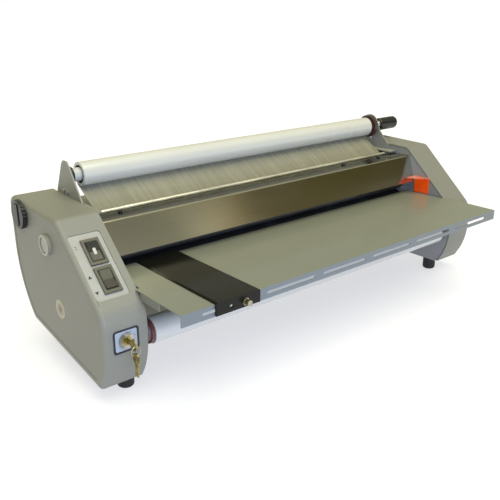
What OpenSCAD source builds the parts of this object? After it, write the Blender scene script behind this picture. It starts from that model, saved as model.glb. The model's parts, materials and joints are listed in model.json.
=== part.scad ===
// Desktop cold roll laminator for 686 mm film.
// X runs along the rollers, -Y faces the operator, Z is up. The origin is on the
// ground, below the middle of the machine's overall box. Lengths are millimetres.

/* [Machine] */
// Width of the widest film the machine takes
film_w = 686; // [660:2:712]
// Width of each end housing
pod_w = 71; // [66:1:75]
// Width of the lower film
lower_film_w = 698; // [686:2:702]
// Height of the nip and of the feed table above the ground
nip_z = 166; // [165:0.5:167]
// Wall thickness of the end housings
wall = 2.5; // [2:0.25:3]
// Radius of the outer edge of the end housings
pod_edge_r = 8; // [6:1:9]

/* [Rollers] */
// Outer radius of the rubber nip rollers
roller_r = 26; // [25:0.5:27]
// Gap between the closed nip rollers
nip_gap = 0.3; // [0.2:0.1:0.6]
// Outer radius of the upper film roll
upper_film_r = 19.5; // [18:0.5:21]
// Outer radius of the lower film roll
lower_film_r = 20.5; // [19:0.5:22]
// Radius of the film supply shafts
shaft_r = 6; // [5:0.5:6]

/* [Feed table] */
// Depth of the feed table from its rear edge to its front flange
table_depth = 204; // [180:1:210]
// Height of the front flange of the feed table
flange_h = 18; // [16:1:20]
// Length of each adjustment slot in the front flange
slot_l = 96; // [80:1:100]
// Height of the adjustment slots
slot_h = 5; // [5:0.2:6]
// Width of the side guide
guide_w = 78; // [70:1:80]
// Centre of the side guide, measured along the rollers
guide_x = -276; // [-290:1:-262]

/* [Controls] */
// Outer width of the rocker switch bezels
bezel_w = 27.6; // [26:0.2:29]
// Outer length of the rocker switch bezels
bezel_l = 42.4; // [40:0.2:43]
// Side of the square label behind the key lock
lock_label_w = 41; // [34:1:42]
// Radius of the roller pressure knob
pressure_knob_r = 23; // [20:0.5:23]

/* [Hidden] */

$fn = 64;
hull_fn = 32;

// Distances along X
half_span = film_w / 2 + 23;
frame_t = 3;
pod_in = half_span + 0.3;
pod_out = half_span + pod_w;
pod_mid = half_span + pod_w / 2;
sheet_t = 1.2;
fit = 0.05;

// Outline of an end housing in the YZ plane
pod_front = -92;
pod_rear = 197;
pod_top_z = 256;
slope = 42;
top_rise = 1.5;
knee_z = 143.6;
knee_r = 40;
toe = [-69, 26.5];
front_arc_z = 100;
front_arc_r = 129;
rear_arc_r = 168;
rear_arc_z = 180;
base_rise = 8.7;
slope_top = [pod_front + (pod_top_z - knee_z) / tan(slope), pod_top_z];
rear_top = [pod_rear, pod_top_z + (pod_rear - slope_top[0]) * tan(top_rise)];
frame_z = 25;
face_step = 0.6;
face_border = 12.5;
frame_y = [-55, 140];

// Axes of the turning parts, as [y, z]
roller_y = 48;
lower_axis = [roller_y, nip_z - roller_r - nip_gap / 2];
upper_axis = [roller_y, nip_z + roller_r + nip_gap / 2];
core_r = 18;
journal_r = 8;
journal_x = half_span + 20;
roller_half = film_w / 2 + 8;
film_axis = [133.4, 290.3];
low_film_axis = [-66.7, 93.3];
idler_axis = [76, 238.5];
idler_r = 4.5;

// Shield and deck sheets
shield_screw_x = [-319, 187, 295];
shield_top = [24.8, 240.6];
shield_foot = [7.5, 188];
shield_rear_y = 58.6;
deck_z = 236;
deck_front_y = 86;
deck_rear_y = 191;
bracket_t = 2.5;
bracket_screw_y = [130.4, 143];
bracket_screw_z = 265.8;

// Pressure mechanism
arm_pivot = [180, 200];
cam_axis = [149, 239];
cam_r = 9.5;
cam_offset = 0.7;
cam_shaft_r = 5;
lift = 4;
arm_x = [half_span + 4.5, half_span + 8.5];
bush_r = 11;

// Drive
gear_module = 1.5;
gear_teeth = 44;
pinion_teeth = 20;
pinion_axis = lower_axis + [gear_module * (gear_teeth + pinion_teeth) / 2, 0];
gear_x = [half_span + 9.5, half_span + 16.5];
pinion_shaft_r = 4;

// Feed table
table_half = half_span + 4;
table_inner = half_span - 3;
table_notch_y = -71;
table_rear = 20;
table_front = table_rear - table_depth;
slot_pitch = 115;
slot_z = nip_z - flange_h / 2;
side_flange_h = 13;
side_flange_y = -132;
pin_r = 3;
pin_y = [5, -60];
guide_t = 3;
guide_screw_dx = 12.5;
screw_r = 2.2;
thumb_r = 4.4;

// Controls
panel_size = [51, 109];
panel_d = 85;
panel_t = 0.8;
panel_sink = 1.8;
panel_x = -pod_mid - 2;
switch_d = [63, 110];
switch_x = -pod_mid + 1.5;
rocker_w = 16.6;
rocker_l = 29;
rocker_rest = 8;
lock_z = 105;
lock_y = pod_front - 0.6;
lock_r = 9;
rotor_r = 6.5;
key_t = 2.2;
key_bow_y = lock_y - 20;
ring_y = key_bow_y - 5;
ring_r = 7;
ring_wire = 0.8;
plug_at = [65, 211];
plug_r = 16;
foot_r = 13;
foot_x = half_span + 13;
foot_y = [-40, 125];

// ---- helpers ----

function dir(a) = [cos(a), sin(a)];

function arc(c, r, a0, a1, n) = [for (i = [0:n]) c + r * dir(a0 + (a1 - a0) * i / n)];

// Rounds the corner v between the headings a0 and a1, inside on the right,
// after both of its sides have moved inwards by i
function turn(v, a0, a1, r, i, n) =
    let (n0 = dir(a0 - 90), n1 = dir(a1 - 90), w = v + i * (n0 + n1) / (1 + n0 * n1))
    arc(w - (r - i) * tan((a0 - a1) / 2) * dir(a0) + (r - i) * n0, r - i, a0 + 90, a1 + 90, n);

// Point where the line through p along the unit heading d leaves or enters a circle
function meet(c, r, p, d, s) =
    let (b = (p - c) * d, q = (p - c) * (p - c) - r * r) p + d * (s * sqrt(b * b - q) - b);

// Outline of an end housing, inset by i on every side
function pod_outline(i) =
    let (front_c = [pod_front + front_arc_r, front_arc_z],
         rear_c = [pod_rear - rear_arc_r, rear_arc_z],
         base = toe + i * dir(base_rise + 90),
         inset = [i, -i],
         toe_end = meet(front_c, front_arc_r - i, base, dir(base_rise), -1),
         heel_end = meet(rear_c, rear_arc_r - i, base, dir(base_rise), 1))
    concat([toe_end],
        arc(front_c, front_arc_r - i, 206, 180, 6),
        turn([pod_front, knee_z], 90, slope, knee_r, i, 6),
        turn(slope_top, slope, top_rise, 14, i, 6),
        turn(rear_top, top_rise, -90, 13, i, 6),
        arc(rear_c, rear_arc_r - i, 0, -42, 8),
        [heel_end]);

function left_normal(a, b) = let (d = (b - a) / norm(b - a)) [-d[1], d[0]];

// Mitred offset of vertex i of an open path
function mitre(p, i) =
    let (a = left_normal(p[max(i - 1, 0)], p[max(i, 1)]),
         b = left_normal(p[min(i, len(p) - 2)], p[min(i + 1, len(p) - 1)]))
    (a + b) / (1 + a * b);

// Outline of a sheet of thickness t on the left of an open path
function sheet(p, t) = concat(p, [for (i = [len(p) - 1:-1:0]) p[i] + t * mitre(p, i)]);

// Extrudes a YZ outline from x0 to x1
module along_x(x0, x1) {
    translate([x0, 0, 0]) rotate([90, 0, 90]) linear_extrude(x1 - x0) children();
}

module rod_x(x0, x1, r, at) {
    translate([x0, at[0], at[1]]) rotate([0, 90, 0]) cylinder(h = x1 - x0, r = r);
}

module tube_x(x0, x1, r_out, r_in, at) {
    difference() {
        rod_x(x0, x1, r_out, at);
        rod_x(x0 - 1, x1 + 1, r_in, at);
    }
}

module rod_y(y0, y1, r, x, z) {
    translate([x, y1, z]) rotate([90, 0, 0]) cylinder(h = y1 - y0, r = r);
}

module both_sides() {
    children();
    mirror([1, 0, 0]) children();
}

module rounded_rect(size, r) {
    offset(r = r, $fn = hull_fn) square([size[0] - 2 * r, size[1] - 2 * r], center = true);
}

// Local frame on the sloped front: +Y climbs the slope, +Z points out of it
module on_slope(x, d) {
    translate([x, slope_top[0] - d * cos(slope), slope_top[1] - d * sin(slope)])
        rotate([slope, 0, 0]) children();
}

// Solid end housing with a rounded outer edge, inset on every side
module pod_solid(x0, x1, edge_r, inset) {
    hull() {
        along_x(x0, x1 - edge_r) polygon(pod_outline(inset));
        for (a = [22.5:22.5:90])
            along_x(x1 - 1 - edge_r * (1 - sin(a)), x1 - edge_r * (1 - sin(a)))
                polygon(pod_outline(inset + edge_r * (1 - cos(a))));
    }
}

module pod_cover() {
    difference() {
        pod_solid(pod_in, pod_out, pod_edge_r, 0);
        pod_solid(pod_in - 1, pod_out - wall, pod_edge_r - wall, wall);
        along_x(pod_out - face_step, pod_out + 1) polygon(pod_outline(face_border));
        translate([half_span, -63, 20]) cube([frame_t + 0.6, 204.5, 50]);
    }
}

// ---- housings and frame ----

module left_cover() color("#9b9d98") difference() {
    mirror([1, 0, 0]) pod_cover();
    on_slope(panel_x, panel_d) translate([0, 0, -panel_sink]) linear_extrude(5)
        rounded_rect(panel_size, 5);
    for (d = switch_d) on_slope(switch_x, d) cube([23, 38, 20], center = true);
    rod_y(lock_y - 5, lock_y + 10, lock_r + 0.2, -pod_mid, lock_z);
    rod_x(-pod_out - 5, -pod_out + 10, cam_shaft_r + 0.5, cam_axis);
    rod_x(-pod_out - 5, -pod_out + 10, plug_r - 4, plug_at);
    translate([-pod_mid, pod_rear, 205]) cube([28, 12, 20], center = true);
}

module right_cover() color("#9b9d98") pod_cover();

module side_frame(bores) {
    difference() {
        union() {
            along_x(half_span, half_span + frame_t) {
                polygon(pod_outline(3.2));
                translate([-62, frame_z]) square([202, 40]);
            }
            translate([half_span, frame_y[0], frame_z])
                cube([27, frame_y[1] - frame_y[0], frame_t]);
            translate([half_span - 12, 100, deck_z - 2]) cube([12.5, 80, 2]);
        }
        rod_x(half_span - 1, half_span + 5, bush_r + 1, lower_axis);
        for (dz = [0, lift + 0.5])
            rod_x(half_span - 1, half_span + 5, journal_r + 1, upper_axis + [0, dz]);
        translate([half_span - 1, upper_axis[0] - journal_r - 1, upper_axis[1]])
            cube([6, 2 * journal_r + 2, lift + 0.5]);
        rod_x(half_span - 1, half_span + 5, shaft_r + fit, low_film_axis);
        rod_x(half_span - 1, half_span + 5, idler_r + fit, idler_axis);
        for (at = bores) rod_x(half_span - 1, half_span + 5, cam_shaft_r + fit, at);
    }
}

module left_side_frame() color("#5d6468") mirror([1, 0, 0]) side_frame([arm_pivot, cam_axis]);

module right_side_frame() color("#5d6468") side_frame([arm_pivot]);

module rear_cover() {
    arc_c = [pod_rear - rear_arc_r, rear_arc_z];
    path = concat([[82, 62], [82, frame_z], [142, frame_z]],
        arc(arc_c, rear_arc_r - 7, -45, -9, 8), [[84, arc_c[1] - 25]]);
    color("#8d8f8b") along_x(-half_span, half_span) polygon(sheet(path, sheet_t));
}

module top_deck() {
    path = [[deck_rear_y, nip_z + 18], [deck_rear_y, deck_z + sheet_t],
        [deck_front_y, deck_z + sheet_t], [deck_front_y, deck_z - 8]];
    color("#8f9088") along_x(-half_span, half_span) polygon(sheet(path, sheet_t));
}

module tie_bars() color("silver")
    for (at = [[100, 45], [160, 210]]) rod_x(-half_span, half_span, 6, at);

module shield_rail() color("#5d6468") difference() {
    translate([-half_span, 45, shield_top[1] - sheet_t - 8.4]) cube([2 * half_span, 13, 8.4]);
    for (x = shield_screw_x) translate([x, 51.5, shield_top[1] - 15]) cylinder(h = 20, r = 2.1);
}

module front_shield() {
    face = atan2(shield_top[1] - shield_foot[1], shield_top[0] - shield_foot[0]);
    path = concat([shield_foot + [3, -1.5], shield_foot],
        turn(shield_top, face, 0, 3, 0, 5), [[shield_rear_y, shield_top[1]]]);
    color("#b9b8b0") difference() {
        along_x(-half_span, half_span) polygon(sheet(path, -sheet_t));
        for (x = shield_screw_x) translate([x, 51.5, shield_top[1] - 5]) cylinder(h = 10, r = 2.2);
    }
}

module frame_screw() {
    difference() {
        cylinder(h = 2.2, r = 3.8);
        translate([0, 0, 1]) cylinder(h = 2, r = 2, $fn = 6);
    }
    translate([0, 0, -5]) cylinder(h = 5, r = 2.1);
}

// Four screws hold the shield and two hold each film bracket
module frame_screws() color("#202020") {
    for (x = shield_screw_x) translate([x, 51.5, shield_top[1]]) frame_screw();
    both_sides() for (y = bracket_screw_y)
        translate([half_span, y, bracket_screw_z]) rotate([0, 90, 0]) frame_screw();
}

module nip_guard() color("#e8590c", 0.7) translate([half_span, 0, nip_z + 1]) {
    translate([-2.2, -30, 0]) cube([2.2, 35, 34]);
    translate([0, 0, 32]) linear_extrude(2.2) polygon([[-2, -30], [-2, 5], [-30, 5]]);
}

// ---- feed table and side guide ----

module feed_table() {
    slot_x = [for (i = [-2.5:2.5]) i * slot_pitch];
    color("#9a9b92") difference() {
        union() {
            translate([-table_inner, table_front, nip_z - sheet_t])
                cube([2 * table_inner, table_depth, sheet_t]);
            translate([-table_half, table_front, nip_z - sheet_t])
                cube([2 * table_half, table_notch_y - table_front, sheet_t]);
            translate([-table_half, table_front, nip_z - flange_h])
                cube([2 * table_half, sheet_t, flange_h]);
            both_sides() {
                translate([table_half - sheet_t, side_flange_y, nip_z - side_flange_h])
                    cube([sheet_t, table_notch_y - 13 - side_flange_y, side_flange_h]);
                translate([table_inner - sheet_t, table_notch_y, nip_z - side_flange_h])
                    cube([sheet_t, table_rear - table_notch_y, side_flange_h]);
            }
        }
        for (x = slot_x) {
            for (s = [-1, 1]) rod_y(table_front - 1, table_front + 3, slot_h / 2,
                x + s * (slot_l - slot_h) / 2, slot_z);
            translate([x - (slot_l - slot_h) / 2, table_front - 1, slot_z - slot_h / 2])
                cube([slot_l - slot_h, 4, slot_h]);
        }
        translate([-table_half - 1, pin_y[0] - pin_r - 0.3, nip_z - 8.3])
            cube([2 * table_half + 2, 30, 2 * pin_r + 0.6]);
    }
}

module table_pins() color("silver") both_sides() {
    rod_x(table_inner - 4, half_span, pin_r, [pin_y[0], nip_z - 5]);
    rod_x(table_inner - 4, half_span, pin_r, [pin_y[1], nip_z - side_flange_h - pin_r - 0.05]);
}

module side_guide() {
    bevel = 2.5;
    edge = 0.5;
    w = guide_w / 2;
    y0 = table_front - guide_t - 0.3;
    profile = [[-w, 0], [w, 0], [w, edge], [w - bevel, guide_t], [bevel - w, guide_t], [-w, edge]];
    color("#17181a") translate([guide_x, 0, nip_z + 0.1]) difference() {
        union() {
            translate([0, table_rear - 2, 0]) rotate([90, 0, 0])
                linear_extrude(table_rear - 2 - y0) polygon(profile);
            translate([-w, y0, -flange_h + 1]) cube([guide_w, guide_t, flange_h]);
        }
        rod_y(y0 - 1, y0 + 5, screw_r + 0.3, guide_screw_dx, slot_z - nip_z - 0.1);
        rod_y(y0 - 1, y0 + 5, screw_r + 0.9, -guide_screw_dx, slot_z - nip_z - 0.1);
    }
}

module guide_thumbscrew() color("#c9b98a")
    translate([guide_x + guide_screw_dx, table_front - guide_t - 0.4, slot_z]) {
        rod_y(0, 9, screw_r, 0, 0);
        rod_y(-1.2, 0, thumb_r + 1.2, 0, 0);
        difference() {
            rod_y(-9.5, -1.2, thumb_r, 0, 0);
            for (a = [0:20:340]) rod_y(-8.6, -2, 0.5, (thumb_r + 0.2) * cos(a), (thumb_r + 0.2) * sin(a));
        }
    }

module guide_nut() color("silver")
    translate([guide_x + guide_screw_dx, table_front + sheet_t + 0.3, slot_z]) difference() {
        translate([-8, 0, -5]) cube([16, 4.5, 10]);
        rod_y(-1, 6, screw_r + fit, 0, 0);
    }

// ---- film supplies ----

module film_bracket(outline) {
    base_z = deck_z + sheet_t;
    foot_z = idler_axis[1] + idler_r + 0.8;
    difference() {
        union() {
            along_x(half_span - bracket_t, half_span)
                polygon(concat([[169, base_z], [83, base_z], [83, 255]], outline, [[169, 262]]));
            translate([half_span - 21, 62, foot_z]) cube([21, 107, bracket_t - 0.5]);
        }
        for (y = bracket_screw_y) rod_x(half_span - 5, half_span + 1, 2.2, [y, bracket_screw_z]);
    }
}

module left_film_bracket() color("#8d8f88") mirror([1, 0, 0])
    film_bracket([[121, 308], [127, 314.5], [140, 314.5], [146, 308]]);

module right_film_bracket() color("#8d8f88") difference() {
    film_bracket(concat([[95, 267], [109, 283]], arc([138, 291.5], 23, 160, 10, 10)));
    rod_x(half_span - 5, half_span + 1, shaft_r + fit, film_axis);
}

module shaft_socket() color("#1d1d1f") difference() {
    rod_x(-half_span + 2.5, -half_span + 10, 13.5, film_axis);
    rod_x(-half_span + 4, -half_span + 12, shaft_r + fit, film_axis);
}

module upper_film_shaft() color("silver")
    rod_x(-half_span + 4.3, half_span + 30, shaft_r, film_axis);

// Core chucks: a short boss inside the core and a collar or flange outside it
module upper_film_chucks() {
    end = film_w / 2;
    color("#dcdcd6") {
        tube_x(-end - 12, -end + 12, 11, shaft_r, film_axis);
        tube_x(-end + 12, -end + 30, 13, shaft_r, film_axis);
    }
    color("#3a1712") {
        tube_x(end - 20, end + 6, 13, shaft_r, film_axis);
        tube_x(end + 6, end + 13, 24, shaft_r, film_axis);
    }
}

module upper_film_core() color("#b98a88")
    tube_x(-film_w / 2, film_w / 2 + 5, 15, 13, film_axis);

module upper_film_roll() color("#e9e9e4")
    tube_x(-film_w / 2, film_w / 2, upper_film_r, 15, film_axis);

module tension_washers() color("silver") {
    tube_x(half_span + 0.3, half_span + 2.5, 11, shaft_r, film_axis);
    tube_x(half_span + 17, half_span + 19, 9.5, shaft_r, film_axis);
}

module tension_spring() {
    turns = 5;
    pitch = 2.5;
    wire_r = 0.9;
    coil_r = shaft_r + 1.4;
    // Section of the coiled wire by a plane across its axis
    section = [for (a = [-90:15:255]) (coil_r + wire_r * cos(a)) * dir(360 * wire_r / pitch * sin(a))];
    color("silver") translate([half_span + 3.5, film_axis[0], film_axis[1]]) rotate([0, 90, 0])
        linear_extrude(turns * pitch, twist = -360 * turns, slices = 12 * turns, $fn = 8)
            polygon(section);
}

module tension_knob() color("#161617")
    translate([half_span + 19, film_axis[0], film_axis[1]]) rotate([0, 90, 0]) difference() {
        rotate_extrude() polygon(concat([[0, 0], [12.5, 0], [13.5, 2]],
            arc([8.5, 50.5], 5, 0, 90, 8), [[0, 55.5]]));
        translate([0, 0, -1]) cylinder(h = 14, r = shaft_r + fit);
        for (a = [0:24:336]) rotate(a) translate([14.3, 0, 6]) cylinder(h = 41, r = 1.4, $fn = 16);
    }

// Film from the roll, under the idler bar and down towards the upper roller
module upper_film_web() {
    gap = 0.4;
    film_t = 0.3;
    under_bar = idler_axis - [0, idler_r + 3 * gap];
    reach = film_axis - under_bar;
    heading = atan2(reach[1], reach[0]) - asin((upper_film_r + gap + film_t) / norm(reach));
    far = sqrt(reach * reach - pow(upper_film_r + gap + film_t, 2));
    path = [under_bar + far * dir(heading), under_bar, under_bar - 21 * dir(heading)];
    color("#cfd0c6", 0.5) along_x(-film_w / 2, film_w / 2) polygon(sheet(path, film_t));
}

module idler_bar() color("silver") rod_x(-half_span - 2, half_span + 2, idler_r, idler_axis);

module lower_film_shaft() color("silver")
    rod_x(-half_span - 6, half_span + 6, shaft_r, low_film_axis);

module lower_film_chucks() color("#4a2226") both_sides() {
    tube_x(lower_film_w / 2 - 20, lower_film_w / 2 + 1, 13, shaft_r, low_film_axis);
    tube_x(lower_film_w / 2 + 1, lower_film_w / 2 + 6, lower_film_r - 1.5, shaft_r, low_film_axis);
}

module lower_film_core() color("#b98a88")
    tube_x(-lower_film_w / 2 - 1, lower_film_w / 2 + 1, 15, 13, low_film_axis);

module lower_film_roll() color("#eeeeea")
    tube_x(-lower_film_w / 2, lower_film_w / 2, lower_film_r, 15, low_film_axis);

// ---- nip rollers, pressure and drive ----

module nip_sleeve(at) tube_x(-roller_half, roller_half, roller_r, core_r, at);

module roller_shaft(at) {
    rod_x(-roller_half - 2, roller_half + 2, core_r, at);
    rod_x(-journal_x, journal_x, journal_r, at);
}

module upper_nip_roller() color("#23262b") nip_sleeve(upper_axis);

module lower_nip_roller() color("#23262b") nip_sleeve(lower_axis);

module upper_roller_shaft() color("silver") roller_shaft(upper_axis);

module lower_roller_shaft() color("silver") roller_shaft(lower_axis);

module upper_roller_bushes() color("#a8874a") both_sides()
    tube_x(half_span + 3.8, half_span + 9.2, bush_r, journal_r + fit, upper_axis);

module lower_roller_bushes() color("#a8874a") both_sides()
    tube_x(half_span - 1, half_span + 5, bush_r + 1, journal_r + fit, lower_axis);

module pressure_arm() {
    difference() {
        hull() {
            rod_x(arm_x[0], arm_x[1], bush_r + 5, upper_axis);
            rod_x(arm_x[0], arm_x[1], 10, arm_pivot);
        }
        rod_x(arm_x[0] - 1, arm_x[1] + 1, bush_r, upper_axis);
        rod_x(arm_x[0] - 1, arm_x[1] + 1, cam_shaft_r, arm_pivot);
    }
}

// The left arm carries the pad that the pressure cam holds down
module left_pressure_arm() color("#7d8084") mirror([1, 0, 0]) {
    pad_z = cam_axis[1] - cam_r - cam_offset * cos(45) - 0.1;
    pressure_arm();
    translate([arm_x[0], cam_axis[0] - 7, arm_pivot[1]])
        cube([arm_x[1] - arm_x[0], 14, pad_z - arm_pivot[1]]);
}

module right_pressure_arm() color("#7d8084") pressure_arm();

module arm_cross_shaft() color("silver") rod_x(-arm_x[1] - 2, arm_x[1] + 2, cam_shaft_r, arm_pivot);

module pressure_cam_shaft() color("silver") {
    rod_x(-pod_out - 6.5, -half_span, cam_shaft_r, cam_axis);
    rod_x(-arm_x[1], -arm_x[0], cam_r, cam_axis + cam_offset * dir(-45));
}

module pressure_knob() color("#1c1d1b") difference() {
    union() {
        rod_x(-pod_out - 7.5, -pod_out - 0.3, pressure_knob_r - 1, cam_axis);
        for (a = [0:15:345]) rod_x(-pod_out - 6.5, -pod_out - 0.3, 2.4,
            cam_axis + (pressure_knob_r - 2.4) * dir(a));
        translate([-pod_out - 9, cam_axis[0] - 5, cam_axis[1] - 17]) cube([3, 10, 34]);
    }
    rod_x(-pod_out - 6.5, -pod_out + 1, cam_shaft_r, cam_axis);
}

// Involute function, in degrees
function inv(a) = tan(a) * 180 / PI - a;

// Half the angle of a tooth at radius r, with a little backlash
function tooth_half(n, r) =
    let (rp = gear_module * n / 2, rb = rp * cos(20), play = 0.06)
    90 / n - play / rp * 180 / PI + inv(20) - (r > rb ? inv(acos(rb / r)) : 0);

module spur_gear(n, x, bore_r, at) {
    rp = gear_module * n / 2;
    radii = [for (i = [0:4]) rp - 1.2 * gear_module + 2.1 * gear_module * i / 4];
    points = [for (t = [0:n - 1]) each concat(
        [for (r = radii) r * dir(360 * t / n - tooth_half(n, r))],
        [for (i = [4:-1:0]) radii[i] * dir(360 * t / n + tooth_half(n, radii[i]))])];
    translate([0, at[0], at[1]]) difference() {
        along_x(x[0], x[1]) polygon(points);
        rod_x(x[0] - 1, x[1] + 1, bore_r, [0, 0]);
    }
}

module roller_gear() color("#d8d4c4") mirror([1, 0, 0])
    spur_gear(gear_teeth, gear_x, journal_r, lower_axis);

module motor_pinion() color("silver") mirror([1, 0, 0]) {
    translate([0, pinion_axis[0], pinion_axis[1]]) rotate([180 / pinion_teeth, 0, 0])
        spur_gear(pinion_teeth, gear_x, pinion_shaft_r, [0, 0]);
    rod_x(gear_x[0] - 1, gear_x[1] + 12, pinion_shaft_r, pinion_axis);
}

module gear_motor() color("#30343a") {
    at = pinion_axis;
    x0 = -gear_x[1] - 1;
    difference() {
        translate([x0 - 28, at[0] - 20, at[1] - 22]) cube([28, 42, 44]);
        rod_x(x0 - 14, x0 + 1, pinion_shaft_r + fit, at);
    }
    rod_y(at[0] + 22, at[0] + 84, 18, x0 - 18, at[1]);
    for (z = [-17, 17]) rod_x(x0, -half_span - frame_t, 4, at + [-15, z] + [30, 0]);
}

module control_board() {
    x = -half_span - frame_t - 6;
    color("#2f6b3a") translate([x, -48, 48]) cube([1.6, 74, 46]);
    color("#26282b") translate([x - 18, -42, 54]) cube([18, 26, 22]);
    color("#8c8f94") translate([x - 12, 2, 54]) cube([12, 18, 34]);
    color("silver") for (y = [-43, 21], z = [52, 90]) rod_x(x + 1.6, x + 6, 2, [y, z]);
}

module mains_inlet() color("#1b1b1d") translate([-pod_mid, pod_rear, 205]) difference() {
    union() {
        translate([-14, -22, -10]) cube([28, 22, 20]);
        translate([-17, 0, -16]) cube([34, 2.5, 32]);
    }
    translate([-11, -14, -7]) cube([22, 20, 14]);
}

// ---- controls ----

module control_panel() color("#dfe3e6") on_slope(panel_x, panel_d) difference() {
    translate([0, 0, -panel_sink]) linear_extrude(panel_t)
        rounded_rect([panel_size[0] - 0.4, panel_size[1] - 0.4], 5);
    for (d = switch_d) translate([switch_x - panel_x, panel_d - d, 0])
        cube([23, 38, 5], center = true);
}

module switch_body() color("#2a2b29") difference() {
    union() {
        translate([0, 0, -14]) cube([22.6, 37.6, 28], center = true);
        translate([0, 0, 0.6]) cube([bezel_w, bezel_l, 3.2], center = true);
    }
    cube([rocker_w + 2.2, rocker_l + 2.6, 18], center = true);
}

module rocker(tilt) {
    half = rocker_l / 2;
    rotate([tilt, 0, 0]) {
        translate([-rocker_w / 2, 0, 0]) rotate([90, 0, 90]) linear_extrude(rocker_w)
            polygon([[-half, -2.5], [-6, -6], [6, -6], [half, -2.5], [half, 3.6], [0, 1.2],
                [-half, 3.6]]);
        rod_x(-rocker_w / 2 - 1, rocker_w / 2 + 1, 1.2, [0, 0]);
    }
}

module power_switch_body() on_slope(switch_x, switch_d[0]) switch_body();

module power_rocker() color("#3a3b39") on_slope(switch_x, switch_d[0]) rocker(rocker_rest);

module direction_switch_body() on_slope(switch_x, switch_d[1]) switch_body();

module direction_rocker() color("#3a3b39") on_slope(switch_x, switch_d[1]) rocker(0);

module lock_label() color("#a9c4e6") translate([-pod_mid, pod_front, lock_z]) difference() {
    rotate([90, 0, 0]) linear_extrude(0.6) rounded_rect([lock_label_w, 36], 5);
    rod_y(-2, 1, lock_r + 0.2, 0, 0);
}

module lock_barrel() color("silver") translate([-pod_mid, 0, lock_z]) difference() {
    union() {
        rod_y(lock_y - 2.6, lock_y, lock_r + 3, 0, 0);
        rod_y(lock_y - 2.6, lock_y + 30, lock_r, 0, 0);
    }
    rod_y(lock_y - 3, lock_y + 26, rotor_r + fit, 0, 0);
}

// Flat key with a round bow: bow centre at the origin, blade along +Y
module key_blank(blade) {
    translate([-key_t / 2, 0, 0]) difference() {
        union() {
            rotate([0, 90, 0]) cylinder(h = key_t, r = 8.5);
            translate([0, 0, -3.5]) cube([key_t, blade, 7]);
        }
        translate([-1, -5, 0]) rotate([0, 90, 0]) cylinder(h = key_t + 2, r = 2.6);
    }
}

module lock_key() color("#a8935a") translate([-pod_mid, 0, lock_z]) {
    rod_y(lock_y - 3, lock_y + 25.5, rotor_r, 0, 0);
    translate([0, key_bow_y, 0]) key_blank(18);
}

module key_ring() color("#d9d6cc")
    translate([-pod_mid, ring_y, lock_z - ring_r]) rotate([90, 0, 0])
        rotate_extrude() translate([ring_r, 0]) circle(r = ring_wire, $fn = 16);

module spare_key() color("#a8935a")
    translate([-pod_mid, ring_y, lock_z - 2 * ring_r - 5]) rotate([-90, 0, 0]) key_blank(28);

module side_plug() color("#a9aba4") {
    difference() {
        rod_x(-pod_out - 5, -pod_out + face_step, plug_r, plug_at);
        rod_x(-pod_out - 6, -pod_out - 3.6, plug_r - 3.5, plug_at);
    }
    tube_x(-pod_out + face_step, -pod_out + 6, plug_r - 4.2, plug_r - 6.2, plug_at);
}

module feet() color("#141414") for (x = [-foot_x, foot_x], y = foot_y)
    translate([x, y, 0]) rotate_extrude() polygon(concat([[0, 0]],
        arc([foot_r - 5, 5], 5, -90, 0, 8), [[foot_r, frame_z], [0, frame_z]]));

left_cover();
right_cover();
left_side_frame();
right_side_frame();
rear_cover();
top_deck();
tie_bars();
shield_rail();
front_shield();
frame_screws();
nip_guard();
feed_table();
table_pins();
side_guide();
guide_thumbscrew();
guide_nut();
left_film_bracket();
right_film_bracket();
shaft_socket();
upper_film_shaft();
upper_film_chucks();
upper_film_core();
upper_film_roll();
tension_washers();
tension_spring();
tension_knob();
upper_film_web();
idler_bar();
lower_film_shaft();
lower_film_chucks();
lower_film_core();
lower_film_roll();
upper_nip_roller();
upper_roller_shaft();
upper_roller_bushes();
left_pressure_arm();
right_pressure_arm();
arm_cross_shaft();
pressure_cam_shaft();
pressure_knob();
lower_nip_roller();
lower_roller_shaft();
lower_roller_bushes();
roller_gear();
motor_pinion();
gear_motor();
control_board();
mains_inlet();
control_panel();
power_switch_body();
power_rocker();
direction_switch_body();
direction_rocker();
lock_label();
lock_barrel();
lock_key();
key_ring();
spare_key();
side_plug();
feet();
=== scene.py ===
import json
import math

import bmesh
import bpy
from mathutils import Matrix, Vector


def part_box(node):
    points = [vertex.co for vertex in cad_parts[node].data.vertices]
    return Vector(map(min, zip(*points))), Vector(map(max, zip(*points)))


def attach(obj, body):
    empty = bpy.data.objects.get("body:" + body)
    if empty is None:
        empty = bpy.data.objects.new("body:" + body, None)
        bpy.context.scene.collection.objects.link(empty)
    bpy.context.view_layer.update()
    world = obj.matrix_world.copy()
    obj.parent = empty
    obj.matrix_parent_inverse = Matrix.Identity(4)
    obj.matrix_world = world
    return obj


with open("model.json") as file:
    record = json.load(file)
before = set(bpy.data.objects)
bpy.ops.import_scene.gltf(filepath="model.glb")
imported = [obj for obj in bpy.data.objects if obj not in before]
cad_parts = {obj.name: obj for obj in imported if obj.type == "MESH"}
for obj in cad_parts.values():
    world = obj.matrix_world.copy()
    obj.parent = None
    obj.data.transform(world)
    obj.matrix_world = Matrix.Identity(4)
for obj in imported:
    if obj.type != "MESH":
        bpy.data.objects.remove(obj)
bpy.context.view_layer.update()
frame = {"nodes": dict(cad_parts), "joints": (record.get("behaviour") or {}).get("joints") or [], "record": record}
NODES = frame["nodes"]
MM = 0.001
SLOPE = math.radians(42)        # the front of the housings, which the control panel lies on
NOISE_SPAN = (0.3, 0.7)         # where most values of a noise texture lie
EDGE = 0.4 * MM                 # over which one finish changes into the next


# ---- places ----

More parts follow.
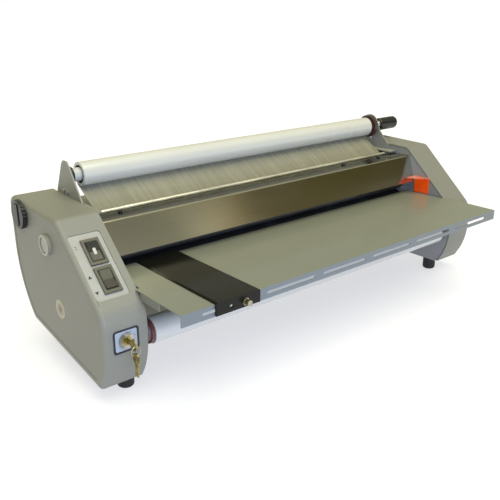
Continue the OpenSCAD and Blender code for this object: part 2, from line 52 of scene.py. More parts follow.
NORMAL = Vector((0, -math.sin(SLOPE), math.cos(SLOPE)))
CLIMB = Vector((0, math.cos(SLOPE), math.sin(SLOPE)))
PIVOTS = {joint["name"]: Vector(joint["pos_m"])
          for joint in frame["joints"] if "pos_m" in joint}
POWER, DIRECTION = PIVOTS["power_rocker_tilt"], PIVOTS["direction_rocker_tilt"]


def middle(node):
    low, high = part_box(node)
    return (low + high) / 2


# ---- materials ----

# A Mix node has sockets for each kind of data: these are its factor, A and B for colours
RGBA_MIX_INPUTS = (0, 6, 7)
RGBA_MIX_OUTPUT = 2
WHITE = (1.0, 1.0, 1.0)


def fill_ramp(ramp, stops):
    """Gives a colour ramp its stops, which are pairs of position and colour."""
    while len(ramp.elements) < len(stops):
        ramp.elements.new(0.5)
    for element, (at, colour) in zip(ramp.elements, stops):
        element.position = at
        element.color = (*colour, 1.0)


def feed(tree, socket, value):
    """Gives a socket what it takes: another socket's output, a colour or a number."""
    if isinstance(value, bpy.types.NodeSocket):
        tree.links.new(value, socket)
    elif isinstance(value, tuple):
        socket.default_value = (*value, 1.0)
    else:
        socket.default_value = value


def mix_colours(tree, factor, a, b, mode="MIX"):
    """Colour a, or b where the factor is 1."""
    node = tree.nodes.new("ShaderNodeMix")
    node.data_type = "RGBA"
    node.blend_type = mode
    for at, value in zip(RGBA_MIX_INPUTS, (factor, a, b)):
        feed(tree, node.inputs[at], value)
    return node.outputs[RGBA_MIX_OUTPUT]


class Surface:
    """A procedural material around one Principled BSDF, in object coordinates."""

    def __init__(self, name, rough=0.5, metal=0.0, **constants):
        self.material = bpy.data.materials.new(name)
        self.material.use_nodes = True
        self.tree = self.material.node_tree
        self.bsdf = self.tree.nodes["Principled BSDF"]
        self.bsdf.inputs["Roughness"].default_value = rough
        self.bsdf.inputs["Metallic"].default_value = metal
        for key, value in constants.items():
            self.bsdf.inputs[key.replace("_", " ")].default_value = value
        self.place = self.tree.nodes.new("ShaderNodeTexCoord").outputs["Object"]

    def link(self, source, target):
        self.tree.links.new(source, target)

    def mapped(self, scale, angle=(0, 0, 0)):
        node = self.tree.nodes.new("ShaderNodeMapping")
        node.inputs["Scale"].default_value = scale
        node.inputs["Rotation"].default_value = angle
        self.link(self.place, node.inputs["Vector"])
        return node.outputs["Vector"]

    def noise(self, scale, vector=None, detail=3.0, distortion=0.0):
        node = self.tree.nodes.new("ShaderNodeTexNoise")
        node.inputs["Scale"].default_value = scale
        node.inputs["Detail"].default_value = detail
        node.inputs["Distortion"].default_value = distortion
        self.link(vector or self.place, node.inputs["Vector"])
        return node.outputs["Fac"]

    def axis(self, name):
        node = self.tree.nodes.new("ShaderNodeSeparateXYZ")
        self.link(self.place, node.inputs["Vector"])
        return node.outputs[name]

    def radius(self, centre):
        """Distance from the line along X through centre."""
        node = self.tree.nodes.new("ShaderNodeVectorMath")
        node.operation = "DISTANCE"
        self.link(self.mapped((0, 1, 1)), node.inputs[0])
        node.inputs[1].default_value = (0, centre.y, centre.z)
        return node.outputs["Value"]

    def spread(self, value, low, high, out_low=0.0, out_high=1.0):
        node = self.tree.nodes.new("ShaderNodeMapRange")
        for key, number in (("From Min", low), ("From Max", high),
                            ("To Min", out_low), ("To Max", out_high)):
            node.inputs[key].default_value = number
        self.link(value, node.inputs["Value"])
        return node.outputs["Result"]

    def vary(self, noise, low, high):
        """A noise, stretched to run from low to high."""
        return self.spread(noise, *NOISE_SPAN, low, high)

    def past(self, value, at, width=EDGE):
        """0 where value is below at and 1 where it is above, with an edge this wide."""
        return self.spread(value, at - width / 2, at + width / 2)

    def colours(self, value, *stops):
        node = self.tree.nodes.new("ShaderNodeValToRGB")
        fill_ramp(node.color_ramp, stops)
        self.link(value, node.inputs["Fac"])
        return node.outputs["Color"]

    def tones(self, noise, colour, dark, light):
        """A colour that a noise takes from dark to light times its brightness."""
        low, high = NOISE_SPAN
        return self.colours(noise, (low, shade(colour, dark)), (high, shade(colour, light)))

    def mix(self, factor, a, b, mode="MIX"):
        return mix_colours(self.tree, factor, a, b, mode)

    def bump(self, height, depth_mm, strength=1.0):
        node = self.tree.nodes.new("ShaderNodeBump")
        node.inputs["Distance"].default_value = depth_mm * MM
        node.inputs["Strength"].default_value = strength
        self.link(height, node.inputs["Height"])
        self.link(node.outputs["Normal"], self.bsdf.inputs["Normal"])

    def colour(self, source):
        self.link(source, self.bsdf.inputs["Base Color"])

    def roughness(self, source):
        self.link(source, self.bsdf.inputs["Roughness"])

    def alpha(self, source):
        self.link(source, self.bsdf.inputs["Alpha"])


def shade(colour, factor):
    return tuple(min(1.0, c * factor) for c in colour)


def textured_paint(name, colour, grain=520, depth_mm=0.22, rough=0.5):
    s = Surface(name, rough, Coat_Weight=0.12, Coat_Roughness=0.3)
    fine = s.noise(grain, detail=2)
    broad = s.noise(5, detail=4)
    tone = s.tones(broad, colour, 0.93, 1.05)
    s.colour(s.mix(s.spread(fine, 0.4, 0.75, 0, 0.35), tone, shade(colour, 1.25)))
    s.roughness(s.vary(fine, rough - 0.08, rough + 0.1))
    s.bump(fine, depth_mm)
    return s.material


def smooth_paint(name, colour, rough=0.3, coat=0.35, orange_peel_mm=0.04, specular=0.5):
    s = Surface(name, rough, Coat_Weight=coat, Coat_Roughness=0.12, Specular_IOR_Level=specular)
    broad = s.noise(4, detail=5)
    scuffs = s.noise(60, s.mapped((0.3, 4, 4), (0, 0, 0.4)), detail=6)
    tone = s.tones(broad, colour, 0.95, 1.05)
    s.colour(s.mix(s.spread(scuffs, 0.62, 0.8, 0, 0.1), tone, shade(colour, 1.3)))
    s.roughness(s.spread(scuffs, 0.35, 0.75, rough - 0.02, rough + 0.05))
    s.bump(s.noise(260, detail=1), orange_peel_mm)
    return s.material


def brushed(name, colour, rough=0.1, along=(5, 2600, 2600)):
    """Brushed steel sheet. Above the bend its top flange is darkened with a painted dark reflection."""
    s = Surface(name, rough, 1.0)
    lines = s.noise(1.0, s.mapped(along), detail=4)
    smears = s.noise(9, s.mapped((0.5, 1.5, 1.5)), detail=5)
    tone = s.tones(lines, colour, 0.95, 1.03)
    tone = s.mix(s.spread(smears, 0.35, 0.7, 0, 0.3), tone, shade(colour, 0.86))
    # Painted dark reflection: above the bend the flange's colour is multiplied darker
    shaded_flange = s.past(s.axis("Z"), SHIELD_TOP - SHIELD_BEND)
    s.colour(s.mix(shaded_flange, tone, s.mix(1.0, tone, (0.70, 0.68, 0.56), "MULTIPLY")))
    s.roughness(s.spread(smears, 0.35, 0.7, rough - 0.03, rough + 0.06))
    s.bump(lines, 0.02)
    return s.material


def plated(name, colour=(0.82, 0.82, 0.82), rough=0.12):
    s = Surface(name, rough, 1.0)
    smear = s.noise(45, s.mapped((0.5, 3, 3)), detail=4)
    s.colour(s.tones(smear, colour, 0.85, 1.0))
    s.roughness(s.vary(smear, rough - 0.04, rough + 0.12))
    s.bump(s.noise(400), 0.01)
    return s.material


def moulded(name, colour, rough=0.42, grain=900, depth_mm=0.04, coat=0.0):
    s = Surface(name, rough, Coat_Weight=coat, Coat_Roughness=0.1)
    fine = s.noise(grain, detail=2)
    broad = s.noise(14, detail=3)
    s.colour(s.tones(broad, colour, 0.9, 1.12))
    s.roughness(s.vary(fine, rough - 0.06, rough + 0.08))
    s.bump(fine, depth_mm)
    return s.material


def roller_rubber(name, colour):
    s = Surface(name, 0.42, Coat_Weight=0.25, Coat_Roughness=0.28)
    grinding = s.noise(1.0, s.mapped((900, 8, 8)), detail=3)
    dust = s.noise(26, detail=6)
    tone = s.colours(grinding, (0.35, shade(colour, 0.85)), (0.65, shade(colour, 1.15)))
    s.colour(s.mix(s.spread(dust, 0.55, 0.8, 0, 0.3), tone, (0.09, 0.10, 0.11)))
    s.roughness(s.vary(dust, 0.34, 0.52))
    s.bump(grinding, 0.03)
    return s.material


def wound_film(name, colour):
    s = Surface(name, 0.24, Coat_Weight=0.5, Coat_Roughness=0.1)
    bands = s.noise(1.0, s.mapped((7, 1.5, 1.5)), detail=2)
    wraps = s.noise(1.0, s.mapped((2, 700, 700)), detail=2)
    tone = s.colours(bands, (0.25, shade(colour, 0.97)), (0.5, colour), (0.75, shade(colour, 0.98)))
    s.colour(s.mix(s.spread(wraps, 0.4, 0.7, 0, 0.12), tone, shade(colour, 0.86)))
    s.roughness(s.vary(bands, 0.22, 0.28))
    s.bump(bands, 0.12, 0.3)
    return s.material


def clear_web(name):
    s = Surface(name, 0.24, Coat_Weight=0.15, Coat_Roughness=0.12)
    creases = s.noise(1.0, s.mapped((110, 6, 6), (0, 0, 0.8)), detail=3, distortion=0.3)
    haze = s.noise(3, detail=3)
    tone = s.colours(creases, (0.4, WEB), (0.75, shade(WEB, 1.16)))
    tone = s.mix(s.vary(haze, 0, 0.5), tone, shade(WEB, 0.9))
    low = s.spread(s.axis("Z"), *WEB_SHADED, 1, 0)
    s.colour(s.mix(low, tone, s.mix(1.0, tone, (0.66, 0.65, 0.62), "MULTIPLY")))
    s.alpha(s.spread(creases, 0.4, 0.72, 0.86, 0.93))
    s.roughness(s.vary(creases, 0.18, 0.34))
    s.bump(creases, 0.2, 0.3)
    return s.material


def guard_acrylic(name, plate, top):
    """Tinted acrylic with a painted glow in its own colour, whose top plate is paler and clearer than the upright
    one.
    """
    # Painted glow: the emission makes the acrylic shine faintly in its plate colour, though it is no lamp
    s = Surface(name, 0.12, Coat_Weight=0.4, Coat_Roughness=0.05,
                Emission_Color=(*plate, 1.0), Emission_Strength=0.2)
    haze = s.noise(18, detail=4)
    above = s.past(s.axis("Z"), GUARD_TOP - GUARD_PLATE)
    tone = s.tones(haze, plate, 0.85, 1.0)
    s.colour(s.mix(above, tone, top))
    s.alpha(s.spread(above, 0.0, 1.0, 0.84, 0.5))
    s.roughness(s.vary(haze, 0.08, 0.2))
    s.bump(s.noise(90), 0.02)
    return s.material


def screw_steel(name, bright, black):
    """Bright bracket screws above, black shield screws below."""
    s = Surface(name, 0.3, 1.0)
    wear = s.noise(300, detail=3)
    above = s.past(s.axis("Z"), SCREWS_PART, 2 * MM)
    tone = s.mix(above, black, bright)
    s.colour(s.mix(s.vary(wear, 0, 0.3), tone, (0.1, 0.1, 0.1)))
    s.roughness(s.vary(wear, 0.22, 0.4))
    s.bump(wear, 0.02)
    return s.material


def table_finish(name, colour, shaded_flange):
    """Smooth paint on the table; its front flange gets painted shade, darker and bluer than the table's own paint.
    """
    s = Surface(name, 0.36, Coat_Weight=0.3, Coat_Roughness=0.12)
    broad = s.noise(4, detail=5)
    scuffs = s.noise(60, s.mapped((0.3, 4, 4), (0, 0, 0.4)), detail=6)
    behind = s.past(s.axis("Y"), TABLE_FRONT + 0.3 * MM)
    tone = s.tones(broad, colour, 0.96, 1.04)
    tone = s.mix(s.spread(scuffs, 0.62, 0.8, 0, 0.1), tone, shade(colour, 1.25))
    s.colour(s.mix(behind, shaded_flange, tone))
    s.roughness(s.spread(scuffs, 0.35, 0.75, 0.33, 0.4))
    s.bump(s.noise(260, detail=1), 0.04)
    return s.material


def lit_upper_half(name, pivot, upper, lower):
    """Moulded rocker whose upper half is painted lighter, a painted highlight where that half tilts towards the
    light, parted across the slope at its pivot.
    """
    s = Surface(name, 0.3, Coat_Weight=0.2, Coat_Roughness=0.1)
    node = s.tree.nodes.new("ShaderNodeVectorMath")
    node.operation = "DOT_PRODUCT"
    s.link(s.place, node.inputs[0])
    node.inputs[1].default_value = CLIMB
    above = s.past(node.outputs["Value"], pivot.dot(CLIMB))
    broad = s.noise(90, detail=3)
    s.colour(s.mix(s.vary(broad, 0, 0.2), s.mix(above, lower, upper), lower))
    s.roughness(s.vary(broad, 0.26, 0.36))
    s.bump(s.noise(900), 0.03)
    return s.material


def dished(name, node, face, rim, hollow_shade):
    """Moulded finish whose hollow in the middle of the outer face is darkened with painted shade."""
    s = Surface(name, 0.2, Coat_Weight=0.4, Coat_Roughness=0.08)
    broad = s.noise(80, detail=3)
    away = s.radius(middle(node))
    tone = s.colours(s.spread(away, 0, rim), (0.0, hollow_shade), (HOLLOW_ENDS, hollow_shade),
                     (FACE_STARTS, face), (1.0, face))
    s.colour(s.mix(s.vary(broad, 0, 0.2), tone, shade(face, 0.8)))
    s.roughness(s.vary(broad, 0.14, 0.28))
    s.bump(s.spread(away, rim * 0.5, rim * 0.75), 1.5, 0.5)
    return s.material


def split_moulded(name, left, right, rough=0.32):
    """Moulded finish with one colour on each side of the machine."""
    s = Surface(name, rough)
    broad = s.noise(40, detail=3)
    side = s.past(s.axis("X"), 0, 2 * MM)
    tone = s.mix(side, left, right)
    s.colour(s.mix(s.vary(broad, 0, 0.25), tone, (0.05, 0.045, 0.04)))
    s.roughness(s.vary(broad, rough - 0.06, rough + 0.1))
    s.bump(s.noise(700), 0.03)
    return s.material


def ringed(name, node, hub, rim, at):
    """Moulded finish with a hub colour and a rim colour, parted at a radius."""
    s = Surface(name, 0.35)
    broad = s.noise(60, detail=3)
    outside = s.past(s.radius(middle(node)), at, 0.6 * MM)
    s.colour(s.mix(s.vary(broad, 0, 0.2), s.mix(outside, hub, rim), shade(rim, 0.6)))
    s.roughness(s.vary(broad, 0.28, 0.42))
    s.bump(s.noise(700), 0.03)
    return s.material


def card(name, colour):
    s = Surface(name, 0.75)
    fibre = s.noise(240, s.mapped((0.3, 3, 3)), detail=5)
    s.colour(s.tones(fibre, colour, 0.75, 1.15))
    s.bump(fibre, 0.15)
    return s.material


def key_brass(name, colour):
    s = Surface(name, 0.3, 1.0)
    wear = s.noise(120, detail=6)
    s.colour(s.colours(wear, (0.3, shade(colour, 0.55)), (0.55, colour), (0.8, shade(colour, 1.3))))
    s.roughness(s.vary(wear, 0.2, 0.45))
    s.bump(s.noise(500), 0.06)
    return s.material


def ground(name):
    """Lit studio floor, so that shadows on it stay faint."""
    s = Surface(name, 0.9, Specular_IOR_Level=0.0, Emission_Color=(*WHITE, 1.0),
                Emission_Strength=0.62)
    low, high = NOISE_SPAN
    s.colour(s.colours(s.noise(2.0, detail=2), (low, (0.38, 0.38, 0.42)),
                       (high, (0.39, 0.39, 0.43))))
    return s.material


SHIELD_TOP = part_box("front_shield")[1].z
GUARD_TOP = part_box("nip_guard")[1].z
TABLE_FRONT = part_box("feed_table")[0].y
SHIELD_BEND = 0.7 * MM          # from the shield's top down to where the painted dark reflection on its flange starts
GUARD_PLATE = 2.4 * MM          # from the guard's top down to just below its top plate
SCREWS_PART = 250 * MM          # height between the shield's screws and the brackets'
WEB_SHADED = (246 * MM, 264 * MM)       # heights between which the web's shading fades
HOLLOW_ENDS, FACE_STARTS = 0.62, 0.72   # of a dished face's radius

PAINT = (0.183, 0.183, 0.156)
SHEET = (0.235, 0.235, 0.205)
WEB = (0.33, 0.32, 0.245)
OLIVE = (0.15, 0.145, 0.095)
MAROON = (0.13, 0.035, 0.035)
MATERIALS = {
    "housing_paint": textured_paint("housing_paint", PAINT),
    "frame_steel": smooth_paint("frame_steel", (0.25, 0.25, 0.245), 0.4, 0.1),
    "stainless": brushed("stainless", (0.63, 0.61, 0.53)),
    # The table's second colour is painted shade on its front flange, which has the table's own paint
    "table_paint": table_finish("table_paint", (0.172, 0.18, 0.145), (0.135, 0.155, 0.168)),
    "deck_paint": smooth_paint("deck_paint", OLIVE, 0.35, 0.3),
    "bright_steel": plated("bright_steel"),
    "black_metal": smooth_paint("black_metal", (0.006, 0.006, 0.004), 0.2, 0.0, specular=0.22),
    "roller_rubber": roller_rubber("roller_rubber", (0.012, 0.013, 0.014)),
    "foot_rubber": moulded("foot_rubber", (0.005, 0.005, 0.005), 0.6, 500, 0.1),
    "black_plastic": moulded("black_plastic", (0.008, 0.008, 0.007), 0.34),
    "panel_film": moulded("panel_film", (0.275, 0.275, 0.26), 0.32, 1400, 0.01, 0.2),
    "label_blue": moulded("label_blue", (0.31, 0.36, 0.44), 0.35, 1400, 0.01, 0.2),
    "guard_orange": guard_acrylic("guard_orange", (0.95, 0.09, 0.004), (0.75, 0.32, 0.24)),
    "clear_film": clear_web("clear_film"),
    "film_roll": wound_film("film_roll", (0.55, 0.55, 0.515)),
    "core_card": card("core_card", (0.52, 0.28, 0.26)),
    "brass": key_brass("brass", (0.36, 0.29, 0.11)),
    "bush_bronze": plated("bush_bronze", (0.55, 0.36, 0.16), 0.3),
    "gear_nylon": moulded("gear_nylon", (0.72, 0.69, 0.58), 0.45),
    "board_green": moulded("board_green", (0.03, 0.16, 0.06), 0.3, 500, 0.06),
}
EXTRA = {
    "ink": moulded("ink", (0.006, 0.007, 0.012), 0.4),
    "sticker": moulded("sticker", (0.30, 0.27, 0.155), 0.3, 900, 0.02, 0.3),
    "switch_olive": moulded("switch_olive", (0.042, 0.040, 0.026), 0.28, 800, 0.03, 0.2),
    "bracket_paint": textured_paint("bracket_paint", SHEET),
    "sticker_middle": moulded("sticker_middle", (0.20, 0.19, 0.13), 0.35, 900, 0.02, 0.2),
    "sticker_mark": moulded("sticker_mark", (0.16, 0.055, 0.03), 0.35, 900, 0.02, 0.2),
    "screws": screw_steel("screws", (0.66, 0.67, 0.70), (0.02, 0.02, 0.022)),
    "old_brass": key_brass("old_brass", (0.42, 0.40, 0.28)),
    "lock_steel": key_brass("lock_steel", (0.44, 0.43, 0.37)),
    # Black for the painted shadow in the switches' gaps
    "gap": moulded("gap", (0.004, 0.004, 0.004), 0.6),
    "black_gloss": moulded("black_gloss", (0.007, 0.007, 0.006), 0.3, 900, 0.03, 0.0),
    "lens": moulded("lens", (0.46, 0.46, 0.40), 0.25, 900, 0.02, 0.3),
    # The plug's darker middle is painted shade in its dished hollow
    "plug": dished("plug", "side_plug", (0.25, 0.25, 0.20), 17.5 * MM, (0.20, 0.20, 0.18)),
    "rocker_dark": moulded("rocker_dark", (0.020, 0.020, 0.018), 0.3, 900, 0.03, 0.2),
    # The direction rocker's lighter upper half is a painted highlight
    "rocker_lit_upper_half": lit_upper_half("rocker_lit_upper_half", DIRECTION, (0.075, 0.075, 0.052),
                                (0.014, 0.013, 0.010)),
    "bright_bar": plated("bright_bar", (0.90, 0.89, 0.80), 0.26),
    "chucks_upper": split_moulded("chucks_upper", (0.55, 0.55, 0.53), (0.05, 0.022, 0.018)),
    # The core's dark left colour is painted shade: the pink card core is seen shadowed inside its hollow left end
    "core_upper": split_moulded("core_upper", (0.06, 0.058, 0.05), (0.50, 0.27, 0.26), 0.7),
    "chucks_lower": ringed("chucks_lower", "lower_film_chucks", (0.50, 0.42, 0.42), MAROON,
                           15.2 * MM),
}
SMOOTH_ANGLE = math.radians(30)

# The room's light by height above the horizon, and by the bearing from the front towards +X
ROOM = ((0.0, (1.0, 1.0, 1.0)), (0.05, (1.0, 1.0, 0.98)), (0.14, (0.66, 0.65, 0.52)),
        (0.28, (0.40, 0.39, 0.29)), (0.60, (0.45, 0.44, 0.33)), (1.0, (0.85, 0.83, 0.64)))
BEARINGS = ((-180, (1.0, 1.0, 1.0)), (-150, (0.45, 0.45, 0.34)), (-60, (0.55, 0.55, 0.44)),
            (-20, (1.0, 1.0, 1.0)), (20, (0.8, 0.8, 0.8)), (27, (0.55, 0.56, 0.56)),
            (33, (0.52, 0.52, 0.49)), (34.5, (1.02, 0.99, 0.92)), (36, (0.94, 0.90, 0.70)),
            (37.6, (0.64, 0.48, 0.34)), (38.6, (0.24, 0.23, 0.17)), (43, (0.22, 0.19, 0.11)),
            (47, (0.17, 0.15, 0.065)), (52, (0.15, 0.13, 0.075)), (66, (0.12, 0.11, 0.08)),
            (90, (1.0, 1.0, 1.0)), (180, (1.0, 1.0, 1.0)))

slot_of = {part["node"]: part["material_slot"] for part in frame["record"]["subparts"]}
repaint = {
    "power_switch_body": "switch_olive", "direction_switch_body": "switch_olive",
    "left_film_bracket": "bracket_paint", "right_film_bracket": "bracket_paint",
    "upper_film_chucks": "chucks_upper", "upper_film_core": "core_upper",
    "lower_film_chucks": "chucks_lower", "frame_screws": "screws", "side_plug": "plug",
    "key_ring": "old_brass", "guide_thumbscrew": "old_brass", "lock_barrel": "lock_steel",
    "direction_rocker": "rocker_lit_upper_half", "power_rocker": "rocker_dark",
    "tension_knob": "black_gloss", "idler_bar": "bright_bar",
}
for node_name, obj in NODES.items():
    material = EXTRA.get(repaint.get(node_name)) or MATERIALS[slot_of[node_name]]
    obj.data.materials.clear()
    obj.data.materials.append(material)
    obj.data.shade_smooth()
    obj.data.set_sharp_from_angle(angle=SMOOTH_ANGLE)


# ---- new pieces ----

def piece(name, bm, material, body):
    mesh = bpy.data.meshes.new(name)
    bmesh.ops.recalc_face_normals(bm, faces=bm.faces)
    bm.to_mesh(mesh)
    bm.free()
    mesh.shade_smooth()
    mesh.set_sharp_from_angle(angle=SMOOTH_ANGLE)
    mesh.materials.append(material)
    obj = bpy.data.objects.new(name, mesh)
    bpy.context.scene.collection.objects.link(obj)
    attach(obj, body)


def prism(bm, outline, thickness, place):
    """Adds a closed flat outline, raised by thickness along local Z, at the matrix place."""
    low = [bm.verts.new(place @ Vector((x, y, 0))) for x, y in outline]
    high = [bm.verts.new(place @ Vector((x, y, thickness))) for x, y in outline]
    bm.faces.new(low[::-1])
    bm.faces.new(high)
    for i in range(len(outline)):
        j = (i + 1) % len(outline)
        bm.faces.new((low[i], low[j], high[j], high[i]))


def ring(bm, outer, inner, thickness, place):
    """Adds a flat frame between two outlines that have as many points as each other."""
    loops = [[bm.verts.new(place @ Vector((x, y, z))) for x, y in outline]
             for outline, z in ((outer, 0), (outer, thickness), (inner, thickness), (inner, 0))]
    count = len(outer)
    for a, b in zip(loops, loops[1:] + loops[:1]):
        for i in range(count):
            j = (i + 1) % count
            bm.faces.new((a[i], a[j], b[j], b[i]))


def circle(radius, count, at=(0, 0)):
    return [(at[0] + radius * math.cos(math.tau * i / count),
             at[1] + radius * math.sin(math.tau * i / count)) for i in range(count)]


def rounded(width, height, radius, steps=8):
    points = []
    for corner, (sx, sy) in enumerate(((1, 1), (-1, 1), (-1, -1), (1, -1))):
        centre = (sx * (width / 2 - radius), sy * (height / 2 - radius))
        for i in range(steps + 1):
            angle = math.radians(90 * corner + 90 * i / steps)
            points.append((centre[0] + radius * math.cos(angle),
                           centre[1] + radius * math.sin(angle)))
    return points


def slope_place(point, lift=0.0):
    """Local frame on the sloped front at a point: +Y climbs it, +Z points out of it."""
    return Matrix.Translation(Vector(point) + lift * NORMAL) @ Matrix.Rotation(SLOPE, 4, "X")


def facing_front(point):
    """Local frame facing -Y: +X to the right, +Y up, +Z towards the operator."""
    return Matrix.Translation(point) @ Matrix.Rotation(math.radians(90), 4, "X")


def facing_left(point):
    """Local frame facing -X: +X towards the operator, +Y up, +Z away from the machine."""
    return (Matrix.Translation(point) @ Matrix.Rotation(math.radians(-90), 4, "Z")
            @ Matrix.Rotation(math.radians(90), 4, "X"))


# Marks printed beside the switches
PANEL_FACE = 0.38 * MM          # from the panel's middle out to just inside its face
MARKS_IN = 5.5 * MM             # from the panel's left edge to the marks' middles
MARK_DEPTH = 0.3 * MM
DOT_R = 0.8 * MM
ARROW_HALF, ARROW_BASE, ARROW_TIP = 2.9 * MM, 2.3 * MM, 2.7 * MM
panel = middle("control_panel")
panel_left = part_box("control_panel")[0].x


def beside(switch, along):
    """Local frame on the panel's face beside a switch, along the slope from its middle."""
    base = Vector((panel_left, panel.y, panel.z)) + PANEL_FACE * NORMAL
    offset = (switch - base).dot(CLIMB)
    return slope_place(base + Vector((MARKS_IN, 0, 0)) + (offset + along) * CLIMB)


marks = bmesh.new()
for along in (14 * MM, 10.5 * MM):
    prism(marks, circle(DOT_R, 16), MARK_DEPTH, beside(POWER, along))
for along, way in ((10 * MM, 1), (-16 * MM, -1)):
    arrow = [(-ARROW_HALF, -ARROW_BASE * way), (ARROW_HALF, -ARROW_BASE * way),
             (0, ARROW_TIP * way)]
    prism(marks, arrow, MARK_DEPTH, beside(DIRECTION, along))
piece("panel_marks", marks, EXTRA["ink"], "frame")


# Border and marks of the lock label
BORDER_W = 3.2 * MM
LABEL_DOTS_R = 14 * MM          # from the lock's middle to the two dots
SUNK = 0.05 * MM                # how far the border's back lies inside the label
label_low, label_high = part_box("lock_label")
label_w, label_h = label_high.x - label_low.x, label_high.z - label_low.z
label_middle = middle("lock_label")
label_place = facing_front(Vector((label_middle.x, label_low.y + SUNK, label_middle.z)))
border = bmesh.new()
ring(border, rounded(label_w, label_h, 5 * MM),
     rounded(label_w - 2 * BORDER_W, label_h - 2 * BORDER_W, 3 * MM), 0.2 * MM, label_place)
for degrees in (60, 20):
    angle = math.radians(degrees)
    dot = (LABEL_DOTS_R * math.cos(angle), LABEL_DOTS_R * math.sin(angle))
    prism(border, circle(0.7 * MM, 16, dot), 0.15 * MM, label_place)
piece("label_border", border, EXTRA["ink"], "frame")

# Round sticker on the left housing: a pale ring, a darker middle and a plain diamond, each
# standing a little prouder than the last
STICKER_R = 15 * MM
FACE_RECESS = 0.65 * MM         # from the housing's outermost plane to just inside its face
STICKER_Y, STICKER_Z = 40 * MM, 115 * MM
sticker_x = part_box("left_cover")[0].x + FACE_RECESS
sticker_place = facing_left(Vector((sticker_x, STICKER_Y, STICKER_Z)))
for name, finish, share, sides, proud in (("side_sticker", "sticker", 1.0, 48, 0.25 * MM),
                                          ("sticker_middle", "sticker_middle", 0.66, 48, 0.32 * MM),
                                          ("sticker_mark", "sticker_mark", 0.36, 4, 0.4 * MM)):
    disc = bmesh.new()
    prism(disc, circle(share * STICKER_R, sides), proud, sticker_place)
    piece(name, disc, EXTRA[finish], "frame")

# Painted shadow: thin black rings on the bezels stand for the shade in the gaps between the rockers and their
# bezels
BEZEL_TOP = 2.2 * MM
GAP_OUTSIDE = rounded(20.6 * MM, 33.4 * MM, 1.2 * MM)
GAP_INSIDE = rounded(16.9 * MM, 29.6 * MM, 0.6 * MM)
gaps = bmesh.new()
for pivot in (POWER, DIRECTION):
    ring(gaps, GAP_OUTSIDE, GAP_INSIDE, 0.12 * MM, slope_place(pivot, BEZEL_TOP))
piece("switch_gaps", gaps, EXTRA["gap"], "frame")

# Lens of the power switch, which leans as its rocker does at rest
ROCKER_LEAN = math.radians(8)
LENS_TOP = 2.4 * MM
lens = bmesh.new()
prism(lens, rounded(4.6 * MM, 10 * MM, 1.2 * MM), LENS_TOP,
      slope_place(POWER) @ Matrix.Rotation(ROCKER_LEAN, 4, "X"))
piece("power_lens", lens, EXTRA["lens"], "power_rocker")


# ---- stage, light and camera ----

FLOOR_HALF = 300
FLOOR_BELOW = 0.5 * MM          # keeps the floor clear of the feet
floor_bm = bmesh.new()
bmesh.ops.create_grid(floor_bm, x_segments=1, y_segments=1, size=FLOOR_HALF)
floor_mesh = bpy.data.meshes.new("floor")
floor_bm.to_mesh(floor_mesh)
floor_bm.free()
floor = bpy.data.objects.new("floor", floor_mesh)
floor.data.materials.append(ground("floor_white"))
bpy.context.scene.collection.objects.link(floor)
floor.location.z = -FLOOR_BELOW

world = bpy.data.worlds.new("studio")
world.use_nodes = True
sky = world.node_tree


def sky_node(kind, **inputs):
    node = sky.nodes.new(kind)
    for key, value in inputs.items():
        feed(sky, node.inputs[key.replace("_", " ")], value)
    return node


def sky_maths(operation, a, b, kind="ShaderNodeMath"):
    node = sky.nodes.new(kind)
    node.operation = operation
    for socket, value in zip(node.inputs, (a, b)):
        feed(sky, socket, value)
    return node.outputs[0]


def sky_ramp(value, stops):
    node = sky_node("ShaderNodeValToRGB", Fac=value)
    fill_ramp(node.color_ramp, stops)
    return node.outputs["Color"]


def sky_range(value, low, high, **out):
    return sky_node("ShaderNodeMapRange", Value=value, From_Min=low, From_Max=high,
                    **out).outputs["Result"]


outwards = sky.nodes.new("ShaderNodeTexCoord").outputs["Generated"]
parts = sky_node("ShaderNodeSeparateXYZ", Vector=outwards).outputs
height = parts["Z"]
room = sky_ramp(height, ROOM)

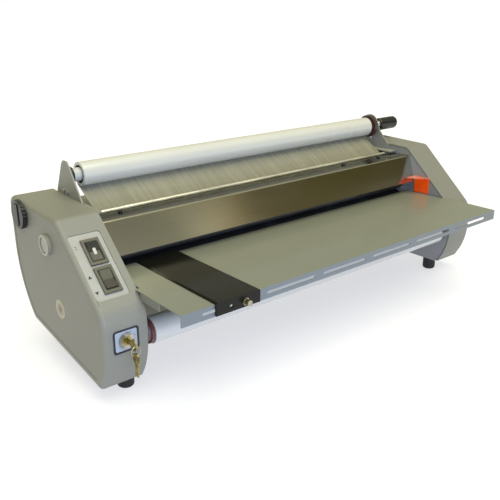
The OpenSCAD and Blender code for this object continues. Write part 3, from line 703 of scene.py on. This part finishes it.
# What stands round the machine, which the steel shield reflects. It fades in above the
# horizon and out again towards the ceiling
FADE_IN, FADE_OUT = (0.03, 0.12), (0.34, 0.60)
front = sky_maths("MULTIPLY", parts["Y"], -1.0)
bearing = sky_range(sky_maths("ARCTAN2", parts["X"], front), -math.pi, math.pi)
around = sky_ramp(bearing, [((degrees + 180) / 360, tint) for degrees, tint in BEARINGS])
band = sky_maths("MULTIPLY", sky_range(height, *FADE_IN),
                 sky_range(height, *FADE_OUT, To_Min=1.0, To_Max=0.0))
lit = sky_maths("MULTIPLY", room, mix_colours(sky, band, WHITE, around),
                "ShaderNodeVectorMath")

# The camera sees plain white behind the machine
seen = sky.nodes.new("ShaderNodeLightPath").outputs["Is Camera Ray"]
sky.links.new(mix_colours(sky, seen, lit, WHITE), sky.nodes["Background"].inputs["Color"])
bpy.context.scene.world = world


def add_light(name, kind, colour, towards_light):
    """A light that shines along a direction, given from what it lights towards it."""
    light = bpy.data.lights.new(name, kind)
    light.color = colour
    obj = bpy.data.objects.new(name, light)
    obj.rotation_euler = towards_light.to_track_quat("Z", "Y").to_euler()
    bpy.context.scene.collection.objects.link(obj)
    return obj


# A broad warm ceiling
CEILING_SHARE = 0.85            # what it adds to a white surface that faces it
ceiling = add_light("ceiling", "SUN", (1.0, 0.96, 0.70), Vector((-0.05, -0.32, 1.0)))
ceiling.data.energy = CEILING_SHARE * math.pi
ceiling.data.angle = math.radians(60)

# A cool window in front, to the left
WINDOW_AT, WINDOW_AIM = Vector((-0.55, -1.35, 0.5)), Vector((-0.2, -0.1, 0.15))
window = add_light("window", "AREA", (0.38, 0.55, 1.0), WINDOW_AT - WINDOW_AIM)
window.location = WINDOW_AT
window.data.shape = "SQUARE"
window.data.size = 0.6
window.data.energy = 12.0

camera_data = bpy.data.cameras.new("camera")
camera_data.sensor_width = 36
camera_data.lens = 48.38
camera_data.clip_start = 0.05
camera = bpy.data.objects.new("camera", camera_data)
camera.location = (-0.8051, -0.8441, 0.5457)
camera.rotation_euler = (math.radians(69.83), 0, math.radians(-39.89))
bpy.context.scene.collection.objects.link(camera)
bpy.context.scene.camera = camera
bpy.context.scene.view_settings.view_transform = "Standard"
